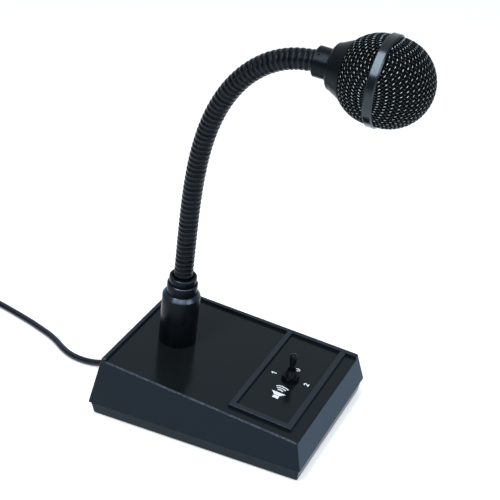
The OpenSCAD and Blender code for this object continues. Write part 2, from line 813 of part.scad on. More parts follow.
module capsule_holder() color(black_c) on_head() {
    foot_z = ferrule_l + collar_round + collar_wall;
    turned([
        [neck_bore / 2, foot_z],
        [holder_r - holder_t, foot_z],
        [holder_r, foot_z + holder_t],
        [holder_r, capsule_z + capsule_l],
        [holder_r - holder_t, capsule_z + capsule_l],
        [holder_r - holder_t, capsule_z - fit],
        [neck_bore / 2, capsule_z - fit - holder_t]
    ]);
}

module cord_relief() color(rubber_c) on_case()
    translate([cord_x, relief_y, cord_z]) rotate([-90, 0, 0])
        turned([
            [0, -wall - relief_in],
            [relief_d / 2, -wall - relief_in],
            [relief_d / 2, wall],
            [relief_tip_d / 2, relief_out],
            [0, relief_out]
        ]);

module cord_free() color(black_c) on_case() tube(cord_route, cord_r, cord_sides);

module cord_coil() color(black_c) on_case() tube(coil_path, cord_r, coil_sides);

// A strap once round all the turns
module coil_tie() color(rubber_c) on_case()
    translate([coil_x, coil_y, 0]) rotate(90) {
        inner_r = coil_rad(coil_turns + 0.25) - cord_r;
        bundle_in = sqrt(pow(inner_r, 2) - pow(tie_w / 2, 2)) - 3 * fit;
        bundle_out = coil_rad(0.25) + cord_r + 2 * fit;
        tall = coil_pitch + cord_d + 2 * fit;
        translate([bundle_in - tie_t, tie_w / 2, 0]) rotate([90, 0, 0])
            linear_extrude(tie_w)
                difference() {
                    square([bundle_out - bundle_in + 2 * tie_t, tall + 2 * tie_t]);
                    translate([tie_t, tie_t - fit]) square([bundle_out - bundle_in, tall + fit]);
                }
    }

// Round plug with a gripped sleeve, lying on the table in line with the end of the cord
module on_plug() on_case() translate(plug_at) rotate([90, 0, 0]) children();

module plug_body() color(black_c) on_plug()
    turned(concat(
        [[0, 0], [plug_tail_d / 2, 0]],
        [for (i = [0:arc_n]) [
            plug_tail_d / 2 + (plug_z - plug_tail_d / 2) * ease(i / arc_n),
            plug_tail_l + plug_taper_l * i / arc_n
        ]],
        [[plug_z, plug_l - plug_shell_l], [0, plug_l - plug_shell_l]]
    ));

module plug_shell() color(steel_c) on_plug()
    translate([0, 0, plug_l - plug_shell_l])
        turned([
            [0, 0],
            [plug_shell_d / 2, 0],
            [plug_shell_d / 2, plug_shell_l],
            [plug_shell_d / 2 - plug_shell_t, plug_shell_l],
            [plug_shell_d / 2 - plug_shell_t, plug_face_t],
            [0, plug_face_t]
        ]);

module plug_pins() color(steel_c) on_plug()
    translate([0, 0, plug_l - plug_shell_l + plug_face_t])
        for (a = [-90:45:90])
            rotate(a) translate([0, pin_ring_d / 2, 0]) cylinder(d = pin_d, h = pin_l, $fn = turn_fn);

bottom_tray();
top_shell();
rubber_feet();
case_screws();
ballast_plate();
switch_body();
switch_bushing();
switch_washer();
switch_nut();
switch_lever();
switch_terminals();
neck_column();
neck_collar();
neck_cup();
deck_washer();
deck_nut();
neck_link(0);  // neck_seg_00
neck_link(1);  // neck_seg_01
neck_link(2);  // neck_seg_02
neck_link(3);  // neck_seg_03
neck_link(4);  // neck_seg_04
neck_link(5);  // neck_seg_05
neck_link(6);  // neck_seg_06
neck_link(7);  // neck_seg_07
neck_link(8);  // neck_seg_08
neck_link(9);  // neck_seg_09
neck_link(10);  // neck_seg_10
neck_link(11);  // neck_seg_11
neck_link(12);  // neck_seg_12
neck_link(13);  // neck_seg_13
neck_end();  // neck_seg_14
head_ferrule();
grub_screw();
head_collar();
rear_grille_warp();
rear_grille_weft();
grille_band();
front_grille_warp();
front_grille_weft();
foam_liner();
capsule();
capsule_holder();
cord_relief();
cord_free();
cord_coil();
coil_tie();
plug_body();
plug_shell();
plug_pins();
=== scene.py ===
"""Looks of a desktop paging microphone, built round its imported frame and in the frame's axes."""

import json
import math

import bpy
import numpy as np
from mathutils import Matrix, Vector


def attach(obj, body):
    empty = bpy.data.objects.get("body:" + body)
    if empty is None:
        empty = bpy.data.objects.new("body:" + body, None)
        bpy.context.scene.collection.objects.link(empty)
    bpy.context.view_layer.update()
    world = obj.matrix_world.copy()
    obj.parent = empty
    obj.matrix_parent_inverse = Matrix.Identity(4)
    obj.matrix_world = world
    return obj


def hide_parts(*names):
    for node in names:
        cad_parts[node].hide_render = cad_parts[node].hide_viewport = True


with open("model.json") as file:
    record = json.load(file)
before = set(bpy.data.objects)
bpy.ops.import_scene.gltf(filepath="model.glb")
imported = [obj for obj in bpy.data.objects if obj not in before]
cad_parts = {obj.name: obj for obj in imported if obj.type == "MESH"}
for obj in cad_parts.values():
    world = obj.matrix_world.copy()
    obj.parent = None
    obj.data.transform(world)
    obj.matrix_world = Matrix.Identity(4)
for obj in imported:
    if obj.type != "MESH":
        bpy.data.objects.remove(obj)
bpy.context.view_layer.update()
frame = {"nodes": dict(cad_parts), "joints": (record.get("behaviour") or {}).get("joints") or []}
NODES = frame["nodes"]
MM = 0.001
SCENE = bpy.context.scene

# Sizes that the part's source gives or works out, in millimetres, with angles in radians
CASE_L = 154
PART_Z = 10.6
TRAY_STEP, TRAY_DRAFT = 1, math.radians(8.2)
BASE_Y = 22.0228
SLOPE = math.radians(5.715)
DECK_Z = 37.115
WALL = 2.5
FRAME_X, FRAME_REAR = -44.2, -21.9
SWITCH_X, SWITCH_V = 3.0, -44.0
BUSHING_D, BUSHING_BORE, BUSHING_H = 6.8, 5.0, 8.0
WASHER_T = 0.7
NUT_W, NUT_T = 10.0, 2.4
LINKS = 15
NECK_L, NECK_D = 205.8, 12.7
LINK_L = NECK_L / LINKS
NECK_R = NECK_D / 2
RIBS_PER_LINK = 4
CUP_SHANK_L, SHANK_L = 4.0, 6.0
HEAD_TURN = math.radians(95.5)
HEAD_AT = np.array([0.0, -51.7478 + BASE_Y, 257.885])
BAND_REAR, BAND_FRONT = 38.1, 43.9
GRILLE_D = 51.2
GRILLE_R = GRILLE_D / 2
REAR_DOME = 18.5
WIRE_D, WIRE_PITCH = 0.56, 2.2
CORD_D = 4.8
CORD_X, CORD_Z = -4.0, 6.4
RELIEF_OUT = 8
TIE_T = 0.8
COIL_X, COIL_Y, COIL_R, COIL_PITCH, COIL_TURNS = -10.0, 238.0, 37.0, 5.25, 4
PLUG_RUN = 30.0

# The photograph's camera, in degrees, millimetres of lens and metres
CAMERA_AZIMUTH, CAMERA_ELEVATION, CAMERA_ROLL = -64.87, 30.82, 1.413
CAMERA_LENS, SENSOR_W = 86.21, 36.0
CAMERA_AT = (-0.58243, -0.26485, 0.50831)
CLIP_NEAR, CLIP_FAR = 0.01, 50


def make_camera():
    """The photograph's camera: its place, its roll and its focal length."""
    azimuth, elevation, roll = (
        math.radians(a) for a in (CAMERA_AZIMUTH, CAMERA_ELEVATION, CAMERA_ROLL)
    )
    back = Vector((
        math.sin(azimuth) * math.cos(elevation),
        -math.cos(azimuth) * math.cos(elevation),
        math.sin(elevation),
    ))
    right = (-back).cross(Vector((0, 0, 1))).normalized()
    up = right.cross(-back)
    turned_right = math.cos(roll) * right + math.sin(roll) * up
    turned_up = math.cos(roll) * up - math.sin(roll) * right
    data = bpy.data.cameras.new("camera")
    data.sensor_width = SENSOR_W
    data.lens = CAMERA_LENS
    data.clip_start, data.clip_end = CLIP_NEAR, CLIP_FAR
    camera = bpy.data.objects.new("camera", data)
    place = Matrix((turned_right, turned_up, back)).transposed().to_4x4()
    place.translation = Vector(CAMERA_AT)
    camera.matrix_world = place
    SCENE.collection.objects.link(camera)
    SCENE.camera = camera


make_camera()
SCENE.view_settings.view_transform = "Standard"


# Materials

NOISE_LOW, NOISE_HIGH = 0.3, 0.7


class Nodes:
    """A material's node tree, with short calls for the nodes that are used here."""

    def __init__(self, name):
        self.material = bpy.data.materials.new(name)
        self.material.use_nodes = True
        self.tree = self.material.node_tree
        self.shader = self.tree.nodes["Principled BSDF"]
        self._coordinates = None

    def add(self, kind, **inputs):
        node = self.tree.nodes.new(kind)
        for key, value in inputs.items():
            self.put(node.inputs[key.replace("_", " ")], value)
        return node

    def put(self, socket, value):
        if isinstance(value, bpy.types.NodeSocket):
            self.tree.links.new(value, socket)
        else:
            socket.default_value = value

    def set(self, **inputs):
        for key, value in inputs.items():
            self.put(self.shader.inputs[key.replace("_", " ")], value)

    def place(self):
        if self._coordinates is None:
            self._coordinates = self.add("ShaderNodeTexCoord").outputs["Object"]
        return self._coordinates

    def noise(self, scale, detail=2.0, stretch=None):
        where = self.place()
        if stretch is not None:
            mapping = self.add("ShaderNodeMapping", Vector=where)
            mapping.inputs["Scale"].default_value = stretch
            where = mapping.outputs[0]
        node = self.add("ShaderNodeTexNoise", Vector=where, Scale=scale, Detail=detail)
        return node.outputs["Fac"]

    def attribute(self, name):
        node = self.add("ShaderNodeAttribute")
        node.attribute_name = name
        return node.outputs["Fac"]

    def ramp(self, fac, low, high, dark, light):
        node = self.add("ShaderNodeValToRGB", Fac=fac)
        ends = node.color_ramp.elements
        ends[0].position, ends[1].position = low, high
        ends[0].color, ends[1].color = dark, light
        return node.outputs["Color"]

    def spread(self, fac, low, high, out_low, out_high):
        node = self.add("ShaderNodeMapRange", Value=fac)
        ends = {"From Min": low, "From Max": high, "To Min": out_low, "To Max": out_high}
        for key, value in ends.items():
            node.inputs[key].default_value = value
        return node.outputs["Result"]

    def vary(self, noise, low, high):
        """A noise, spread from where it is usually lowest to where it is usually highest."""
        return self.spread(noise, NOISE_LOW, NOISE_HIGH, low, high)

    def math(self, operation, a, b):
        node = self.tree.nodes.new("ShaderNodeMath")
        node.operation = operation
        self.put(node.inputs[0], a)
        self.put(node.inputs[1], b)
        return node.outputs[0]

    def product(self, first, *others):
        for other in others:
            first = self.math("MULTIPLY", first, other)
        return first

    def mix(self, fac, a, b):
        node = self.tree.nodes.new("ShaderNodeMix")
        node.data_type = "RGBA"
        self.put(node.inputs["Factor"], fac)
        self.put(node.inputs["A"], a)
        self.put(node.inputs["B"], b)
        return node.outputs["Result"]

    def bump(self, height, strength, distance):
        node = self.add("ShaderNodeBump", Height=height)
        node.inputs["Strength"].default_value = strength
        node.inputs["Distance"].default_value = distance
        self.put(self.shader.inputs["Normal"], node.outputs["Normal"])

    def along(self, vector, direction):
        """How far a vector reaches in a direction."""
        node = self.tree.nodes.new("ShaderNodeVectorMath")
        node.operation = "DOT_PRODUCT"
        self.put(node.inputs[0], vector)
        node.inputs[1].default_value = direction
        return node.outputs["Value"]

    def facing(self, direction, low, high):
        """1 where the surface faces a direction, 0 where it turns away."""
        normal = self.add("ShaderNodeNewGeometry").outputs["True Normal"]
        return self.spread(self.along(normal, direction), low, high, 0.0, 1.0)


def rgba(r, g, b):
    return (r, g, b, 1.0)


# Colours, in pairs from dark to light where a noise varies them
SIDE_WALLS = rgba(0.0042, 0.0066, 0.0100), rgba(0.0056, 0.0086, 0.0128)
# The front wall's colour is painted light: a lit copy of the side walls' plastic, brighter and
# bluer.
FRONT_WALL_PAINTED_LIGHT = rgba(0.0090, 0.0250, 0.0460), rgba(0.0110, 0.0290, 0.0530)
DECK_FIELD = rgba(0.0048, 0.0060, 0.0068), rgba(0.0062, 0.0076, 0.0086)
RAISED_BARS = rgba(0.0140, 0.0165, 0.0205), rgba(0.0170, 0.0200, 0.0245)
# The pale edge colour below is part rubbed wear and part painted highlight.
RUBBED_EDGE_AND_HIGHLIGHT = rgba(0.06, 0.065, 0.082)
TRAY_FACE = rgba(0.0030, 0.0055, 0.0085), rgba(0.0042, 0.0075, 0.0115)
SOCKET_BLACK = rgba(0.0025, 0.0035, 0.0045), rgba(0.004, 0.0055, 0.0075)
SOCKET_BEVEL = rgba(0.046, 0.056, 0.074)
RIB_GROOVE, RIB_CROWN_HIGHLIGHT = rgba(0.0008, 0.0011, 0.0018), rgba(0.018, 0.0205, 0.026)
METAL_BLACK = rgba(0.0022, 0.0030, 0.0040), rgba(0.0035, 0.0048, 0.0065)
MOULDED_BLACK = rgba(0.01, 0.01, 0.011), rgba(0.016, 0.016, 0.018)
GLOSS_BLACK = rgba(0.0015, 0.0020, 0.0030), rgba(0.0028, 0.0036, 0.0050)
LEVER_BLACK = rgba(0.003, 0.0035, 0.004), rgba(0.005, 0.006, 0.007)
RUBBER_BLACK = rgba(0.012, 0.012, 0.013), rgba(0.022, 0.022, 0.023)
# The pale wire colour is part rubbed metal and part painted highlight.
WIRE_BLACK, WIRE_BARE_AND_HIGHLIGHT = rgba(0.002, 0.0035, 0.005), rgba(0.46, 0.54, 0.54)
FOAM_BLACK = rgba(0.001, 0.001, 0.0012), rgba(0.006, 0.006, 0.0065)
CORD_BLACK = rgba(0.005, 0.0065, 0.014), rgba(0.007, 0.009, 0.018)
INK_WHITE = rgba(0.62, 0.63, 0.64), rgba(0.78, 0.79, 0.8)
ZINC = rgba(0.4, 0.41, 0.42), rgba(0.58, 0.58, 0.58)
CAST_GREY = rgba(0.12, 0.12, 0.12), rgba(0.22, 0.21, 0.2)
NICKEL_WHITE = rgba(0.55, 0.55, 0.55), rgba(0.7, 0.69, 0.68)
BRASS_YELLOW = rgba(0.5, 0.38, 0.18), rgba(0.68, 0.54, 0.28)
METAL_TINT = rgba(0.75, 0.9, 1.0)
CASE_TINT = rgba(0.6, 0.85, 1.0)
TRAY_TINT = rgba(0.5, 0.8, 1.0)

# Scales of the noises, in cells a metre
CASE_GRAIN, CASE_CLOUD, CASE_SPECKS, CASE_PATCHES = 2600, 38, 900, 120
METAL_CLOUD, METAL_GRAIN, BAND_GRAIN, STEEL_STREAKS = 140, 1800, 1200, 900
WIRE_PATCHES, FOAM_CELLS, INK_PATCHES = 260, 1400.0, 1500
RUBBER_GRAIN, RUBBER_CLOUD, CORD_GRAIN, CORD_CLOUD = 1500, 90, 700, 60

# Directions that pick out faces, and how squarely a face points there where it starts to count
# and where it counts in full
DECK_UP = (0.0, -math.sin(SLOPE), math.cos(SLOPE))
FRONT_OUT = (0.0, -0.98, 0.2)
EDGE_OUT = (-0.62, -0.08, 0.78)
DECK_FACING, FRONT_FACING, EDGE_FACING = (0.985, 0.997), (0.93, 0.97), (0.9, 0.96)
BEVEL_FACING, TOP_FACING = (0.4, 0.55), (0.75, 0.9)

# Width and fade of the rubbed, painted-highlight line on the raised frame's near edge, and the
# heights above the deck between which a face comes to count as raised, in millimetres
EDGE_W, EDGE_FADE = 0.4, 0.25
RAISED_LOW, RAISED_HIGH = 0.8, 1.4


def case_rubbing_and_highlight(n, deck, raised):
    """How much the case's top edges and the near edge of its raised frame are paled: rubbed wear
    with a painted highlight.
    """
    specks = n.spread(n.noise(CASE_SPECKS, detail=3, stretch=(1, 0.5, 1)), 0.4, 0.62, 0.3, 1.0)
    patches = n.spread(n.noise(CASE_PATCHES, detail=3), 0.3, 0.5, 0.35, 1.0)
    # Edges that face up towards the near side, where the light falls, get the painted highlight.
    top_edge = n.facing(EDGE_OUT, *EDGE_FACING)
    axes = n.add("ShaderNodeSeparateXYZ", Vector=n.place())
    near_end = (FRAME_X + EDGE_W) * MM
    near = n.spread(axes.outputs["X"], near_end, near_end + EDGE_FADE * MM, 1.0, 0.0)
    rear_end = (BASE_Y + FRAME_REAR * math.cos(SLOPE)) * MM
    before = n.spread(axes.outputs["Y"], rear_end, rear_end + EDGE_FADE * MM, 1.0, 0.0)
    frame_edge = n.product(raised, deck, near, before)
    return n.product(n.math("MAXIMUM", top_edge, frame_edge), specks, patches)


def case_material():
    """Moulded blue-black plastic: grained walls, the front one lit by painted light, a smooth
    deck, paler bars and rubbed edges with a painted highlight.
    """
    n = Nodes("case_plastic")
    grain, cloud = n.noise(CASE_GRAIN, detail=3), n.noise(CASE_CLOUD, detail=2)
    deck = n.facing(DECK_UP, *DECK_FACING)
    front = n.facing(FRONT_OUT, *FRONT_FACING)
    level = (math.cos(SLOPE) * DECK_Z - math.sin(SLOPE) * BASE_Y) * MM
    height = n.along(n.place(), DECK_UP)
    raised = n.spread(height, level + RAISED_LOW * MM, level + RAISED_HIGH * MM, 0.0, 1.0)
    # Faces turned to the front take the painted light of the front wall's colour.
    walls = n.mix(front, n.mix(cloud, *SIDE_WALLS), n.mix(cloud, *FRONT_WALL_PAINTED_LIGHT))
    top = n.mix(raised, n.mix(cloud, *DECK_FIELD), n.mix(cloud, *RAISED_BARS))
    body = n.mix(deck, walls, top)
    n.set(Base_Color=n.mix(case_rubbing_and_highlight(n, deck, raised), body, RUBBED_EDGE_AND_HIGHLIGHT))
    n.set(Roughness=n.mix(deck, n.vary(grain, 0.42, 0.58), n.vary(cloud, 0.13, 0.18)))
    n.set(Specular_IOR_Level=0.17, Specular_Tint=CASE_TINT)
    n.bump(grain, strength=0.12, distance=0.12 * MM)
    return n.material


def tray_material():
    """The case's plastic with a smooth, glossier face."""
    n = Nodes("tray_plastic")
    cloud = n.noise(CASE_CLOUD, detail=2)
    n.set(Base_Color=n.mix(cloud, *TRAY_FACE), Roughness=n.vary(cloud, 0.07, 0.11))
    n.set(Specular_IOR_Level=0.14, Specular_Tint=TRAY_TINT)
    return n.material


def metal_material(name, colours, rough, gloss, grain_scale=METAL_GRAIN, grain=0.06):
    """Black-finished metal or hard plastic with a fine, slightly uneven gloss."""
    n = Nodes(name)
    cloud, fine = n.noise(METAL_CLOUD, detail=3), n.noise(grain_scale, detail=2)
    n.set(Base_Color=n.mix(cloud, *colours), Roughness=n.vary(fine, *rough))
    n.set(Specular_IOR_Level=gloss, Specular_Tint=METAL_TINT)
    n.bump(fine, strength=grain, distance=0.08 * MM)
    return n.material


def column_material():
    """The socket's black finish, with the turned bevel round its top a shade brighter."""
    n = Nodes("column_metal")
    cloud = n.noise(METAL_CLOUD, detail=3)
    tilted, level = n.facing(DECK_UP, *BEVEL_FACING), n.facing(DECK_UP, *TOP_FACING)
    bevel = n.math("SUBTRACT", tilted, level)
    n.set(Base_Color=n.mix(bevel, n.mix(cloud, *SOCKET_BLACK), SOCKET_BEVEL))
    n.set(Metallic=bevel, Roughness=n.vary(cloud, 0.26, 0.34))
    n.set(Specular_IOR_Level=0.1, Specular_Tint=METAL_TINT)
    return n.material


def neck_material():
    """Black ribbed metal, near black in its grooves, with a painted highlight on the crowns of its
    ribs.
    """
    n = Nodes("neck_metal")
    patchy = n.noise(METAL_CLOUD, detail=3)
    # The paler crown colour is a painted highlight.
    crown_highlight = n.product(n.attribute("crown"), n.vary(patchy, 0.6, 1.0))
    n.set(Base_Color=n.mix(crown_highlight, RIB_GROOVE, RIB_CROWN_HIGHLIGHT), Roughness=n.vary(patchy, 0.26, 0.34))
    n.set(Specular_IOR_Level=0.13, Specular_Tint=METAL_TINT)
    return n.material


STEEL_ROUGH_SPAN = 0.14


def steel_material(name, colours, rough):
    """Bare metal with faint streaks."""
    n = Nodes(name)
    streak = n.noise(STEEL_STREAKS, detail=3, stretch=(1, 1, 0.15))
    n.set(Base_Color=n.mix(streak, *colours), Metallic=1.0)
    n.set(Roughness=n.vary(streak, rough, rough + STEEL_ROUGH_SPAN))
    n.bump(streak, strength=0.08, distance=0.05 * MM)
    return n.material


def rubber_material():
    n = Nodes("black_rubber")
    fine = n.noise(RUBBER_GRAIN, detail=4)
    n.set(Base_Color=n.mix(n.noise(RUBBER_CLOUD), *RUBBER_BLACK), Roughness=n.vary(fine, 0.6, 0.8))
    n.bump(fine, strength=0.25, distance=0.15 * MM)
    return n.material


def wire_material():
    """Black wire, pale on the crowns of the weave: rubbed metal with a painted highlight."""
    n = Nodes("grille_wire")
    patchy = n.noise(WIRE_PATCHES, detail=3)
    # Crowns are paled as rubbed metal and as painted highlight.
    bare_and_highlit = n.spread(n.attribute("crown"), 0.45, 0.75, 0.0, 1.0)
    crown_highlight = n.product(bare_and_highlit, n.spread(patchy, 0.35, 0.6, 0.55, 1.0))
    n.set(Base_Color=n.mix(crown_highlight, WIRE_BLACK, WIRE_BARE_AND_HIGHLIGHT), Metallic=n.product(crown_highlight, 0.7))
    n.set(Roughness=n.vary(patchy, 0.3, 0.42), Specular_IOR_Level=0.12)
    return n.material


def foam_material():
    n = Nodes("foam")
    voronoi = n.add("ShaderNodeTexVoronoi", Vector=n.place(), Scale=FOAM_CELLS)
    cells = voronoi.outputs["Distance"]
    n.set(Base_Color=n.ramp(cells, 0.1, 0.7, *FOAM_BLACK))
    n.set(Roughness=n.spread(cells, 0.0, 1.0, 0.9, 1.0), Specular_IOR_Level=0.1)
    n.bump(cells, strength=0.8, distance=0.6 * MM)
    return n.material


def cord_material():
    n = Nodes("cord_sheath")
    fine = n.noise(CORD_GRAIN, detail=3)
    n.set(Base_Color=n.mix(n.noise(CORD_CLOUD), *CORD_BLACK))
    n.set(Roughness=n.vary(fine, 0.14, 0.2), Specular_IOR_Level=0.38)
    n.bump(fine, strength=0.05, distance=0.1 * MM)
    return n.material


def ink_material():
    n = Nodes("ink")
    patchy = n.noise(INK_PATCHES, detail=3)
    n.set(Base_Color=n.mix(patchy, *INK_WHITE), Roughness=n.vary(patchy, 0.45, 0.6))
    return n.material


CASE = case_material()
TRAY = tray_material()
BLACK_METAL = metal_material("black_metal", METAL_BLACK, (0.24, 0.32), gloss=0.11)
COLUMN = column_material()
NECK_METAL = neck_material()
MOULDED = metal_material("moulded_black", MOULDED_BLACK, (0.4, 0.55), gloss=0.4)
GLOSS = metal_material(
    "gloss_band", GLOSS_BLACK, (0.16, 0.22), gloss=0.5, grain_scale=BAND_GRAIN, grain=0.02,
)
LEVER = metal_material("lever_black", LEVER_BLACK, (0.3, 0.38), gloss=0.12)
RUBBER = rubber_material()
STEEL = steel_material("zinc_steel", ZINC, 0.25)
CAST = steel_material("cast_ballast", CAST_GREY, 0.5)
NICKEL = steel_material("plug_metal", NICKEL_WHITE, 0.14)
BRASS = steel_material("pin_metal", BRASS_YELLOW, 0.2)
WIRE = wire_material()
FOAM = foam_material()
CORD = cord_material()
INK = ink_material()


# Meshes

def piece(name, vertices, faces, material, smooth=True):
    mesh = bpy.data.meshes.new(name)
    mesh.from_pydata([tuple(v) for v in vertices], [], [tuple(f) for f in faces])
    mesh.validate()
    mesh.materials.append(material)
    mesh.polygons.foreach_set("use_smooth", [smooth] * len(mesh.polygons))
    made = bpy.data.objects.new(name, mesh)
    SCENE.collection.objects.link(made)
    return made


def row_faces(row, following, columns):
    """Quads between two rows of a grid whose columns close round on themselves."""
    return [
        (row + j, row + (j + 1) % columns, following + (j + 1) % columns, following + j)
        for j in range(columns)
    ]


def grid_faces(rows, columns, start=0, closed=False):
    """Quads of a grid, whose last row also meets its first where it is closed."""
    faces = []
    for i in range(rows - 1):
        faces += row_faces(start + i * columns, start + (i + 1) * columns, columns)
    if closed:
        faces += row_faces(start + (rows - 1) * columns, start, columns)
    return faces


def circle(r, z, around, turn=0.0):
    angles = [2 * math.pi * j / around + turn for j in range(around)]
    return [(r * math.cos(a), r * math.sin(a), z) for a in angles]


def set_crown(made, values):
    """Tell a material how near each point is to the crown of its wire or rib."""
    attribute = made.data.attributes.new("crown", "FLOAT", "POINT")
    attribute.data.foreach_set("value", np.asarray(values, np.float32))


def deck_frame(x, v):
    """Matrix, in metres, of a place on the deck: x to the right and v along the deck."""
    turn = Matrix.Rotation(SLOPE, 4, "X")
    turn.translation = Vector((0, BASE_Y * MM, DECK_Z * MM))
    return turn @ Matrix.Translation(Vector((x, v, 0)) * MM)


def across_and_along(turn):
    """Directions across and along a tube that leans forward by a turn."""
    return (
        np.array([0.0, math.cos(turn), math.sin(turn)]),
        np.array([0.0, -math.sin(turn), math.cos(turn)]),
    )


SIDEWAYS = np.array([1.0, 0.0, 0.0])
HEAD_ACROSS, HEAD_ALONG = across_and_along(HEAD_TURN)


def from_head(points):
    """Points in the head's own millimetres, as metres in the frame."""
    p = np.asarray(points, float)
    return (HEAD_AT + p[:, :1] * SIDEWAYS + p[:, 1:2] * HEAD_ACROSS + p[:, 2:3] * HEAD_ALONG) * MM


def smooth_step(t):
    t = min(max(t, 0.0), 1.0)
    return t * t * (3 - 2 * t)


def through(points, steps):
    """A smooth line through points, as a list of closer ones."""
    p = [np.array(q, float) for q in points]
    p = [2 * p[0] - p[1]] + p + [2 * p[-1] - p[-2]]
    line = []
    for a, b, c, d in zip(p, p[1:], p[2:], p[3:]):
        for s in range(steps):
            t = s / steps
            line.append(0.5 * (2 * b + (c - a) * t + (2 * a - 5 * b + 4 * c - d) * t * t
                               + (3 * b - a - 3 * c + d) * t ** 3))
    return line + [p[-2]]


# Cord: free length, coil and the run to the plug

CORD_R = CORD_D / 2
CORD_START = CASE_L / 2 - (TRAY_STEP + (PART_Z - CORD_Z) * math.tan(TRAY_DRAFT)) + RELIEF_OUT
COIL_Z = CORD_R + TIE_T
COIL_IN_R = COIL_R - COIL_TURNS * COIL_PITCH
COIL_END = 2 * COIL_TURNS - 0.5
COIL_STEPS = 36
CLIMB_TURNS = 0.5
CORD_ROUNDNESS = 5
ROUTE_STEPS = 4
PLUG_STEPS = (0.15, 0.3, 0.5, 0.7, 0.85, 1.0)
CORD_ROUTE = [
    (CORD_X, CORD_START, CORD_Z),
    (CORD_X - 0.2, CORD_START + 4, CORD_Z - 0.5),
    (-5, 94, CORD_R + 1.8),
    (-6.4, 101, CORD_R + 0.4),
    (-7.4, 108, CORD_R),
    (-7.4, 116, CORD_R),
    (-5.6, 124.5, CORD_R),
    (-1.8, 133, CORD_R),
    (3, 141, CORD_R),
    (7.4, 150, CORD_R),
    (11, 160, CORD_R),
    (14.4, 170, CORD_R),
    (17.6, 181, CORD_R),
    (20.6, 192, CORD_R),
    (23.4, 203, CORD_R),
    (25.5, 213, CORD_R + 0.2),
    (26.6, 223, COIL_Z - 0.2),
    (COIL_X + COIL_R, COIL_Y - CORD_D - 1, COIL_Z),
]


def coil_radius(t):
    return COIL_IN_R + COIL_PITCH * abs(t - COIL_TURNS)


def coil_point(t):
    """A place on the coil, t turns along: it spirals in, climbs a layer and spirals out."""
    return (
        COIL_X + coil_radius(t) * math.cos(2 * math.pi * t),
        COIL_Y + coil_radius(t) * math.sin(2 * math.pi * t),
        COIL_Z + COIL_PITCH * smooth_step((t - COIL_TURNS) / CLIMB_TURNS + 0.5),
    )


def cord_line():
    line = through(CORD_ROUTE, ROUTE_STEPS)
    line += [np.array(coil_point(i / COIL_STEPS)) for i in range(int(COIL_END * COIL_STEPS) + 1)]
    plug_x, plug_z = COIL_X - coil_radius(COIL_END), COIL_Z + COIL_PITCH
    line += [np.array((plug_x, COIL_Y - PLUG_RUN * s, plug_z)) for s in PLUG_STEPS]
    return np.array(line) + np.array([0, BASE_Y, 0])


def make_cord():
    line = cord_line()
    curve = bpy.data.curves.new("cord", "CURVE")
    curve.dimensions = "3D"
    curve.bevel_depth = CORD_R * MM
    curve.bevel_resolution = CORD_ROUNDNESS
    curve.use_fill_caps = True
    spline = curve.splines.new("POLY")
    spline.points.add(len(line) - 1)
    spline.points.foreach_set("co", np.c_[line * MM, np.ones(len(line))].ravel())
    spline.use_smooth = True
    curve.materials.append(CORD)
    cord = bpy.data.objects.new("cord", curve)
    SCENE.collection.objects.link(cord)
    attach(cord, "base")
    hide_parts("cord_free", "cord_coil")


make_cord()


# Gooseneck: a closed ribbed length for each link, parted in the groove over each flexing place

# Ribs: their depth, how square they are, how narrow the painted highlight on their crowns is, and
# the groove between them as a share of their pitch
RIB_DEPTH, RIB_POWER, CROWN_POWER = 0.38, 0.7, 9
RIB_PITCH = LINK_L / RIBS_PER_LINK
GROOVE = 0.26
# Parting over a flexing place: the room beyond its bend, the lip on each side, the ball in it
PARTING_SPARE = 0.06
LIP_R, INNER_R = 5.95, 5.9
BALL_R, BALL_BORE_R, BALL_SPAN = 5.86, 4.0, math.radians(35)
# Length over which the neck's end turns to the head's direction
MOUTH_TURN_L = 4.0
# Rows along a link and the ball, and points round them; the inner wall has one row in eight
NECK_AROUND, NECK_ROWS, BALL_ROWS = 48, 16 * RIBS_PER_LINK, 13
INNER_EVERY = 8
NECK_PHI = np.arange(NECK_AROUND) * 2 * math.pi / NECK_AROUND
# Step, in ribs, for the profile's slope, and the bend, in radians, below which a link is straight
SLOPE_STEP, STRAIGHT = 1e-3, 1e-6


def neck_chain():
    """Flexing places from the cup to the head, the links' turns from vertical, the bodies
    that the links ride, and how far each flexing place bends."""
    hinges = {j["child"]: j for j in frame["joints"] if j["name"].startswith("neck")}
    order = ["neck_%02d" % k for k in range(1, LINKS - 1)] + ["head"]
    at = [np.array(hinges[b]["pos_m"]) / MM for b in order]
    reach = [math.radians(max(abs(d) for d in hinges[b]["range_deg"])) for b in order]
    first = at[0] - (at[1] - at[0])
    at = [first] + at + [HEAD_AT]
    turns = [math.atan2(-(b - a)[1], (b - a)[2]) for a, b in zip(at, at[1:])]
    return at, turns, ["base"] + order, [0.0] + reach


NECK_AT, NECK_TURNS, NECK_BODIES, NECK_REACH = neck_chain()
NECK_MIDS = [(a + b) / 2 for a, b in zip(NECK_AT, NECK_AT[1:])]


def rib_profile(u):
    """Radius of the ribbed tube where u counts its ribs, with a groove at each whole number."""
    across = np.clip((u % 1.0 - GROOVE / 2) / (1 - GROOVE), 0.0, 1.0)
    return NECK_R - RIB_DEPTH * (1 - np.sin(math.pi * across) ** RIB_POWER)


def ring(centre, turn, radius, rise, lean, crown=0.0):
    """Points, normals and crown of a ring; its normals rise outward and lean along the tube."""
    across, along = across_and_along(turn)
    out = np.cos(NECK_PHI)[:, None] * SIDEWAYS + np.sin(NECK_PHI)[:, None] * across
    normal = rise * out + lean * along
    normal /= np.linalg.norm(normal, axis=1)[:, None]
    return centre + radius * out, normal, np.full(NECK_AROUND, crown)


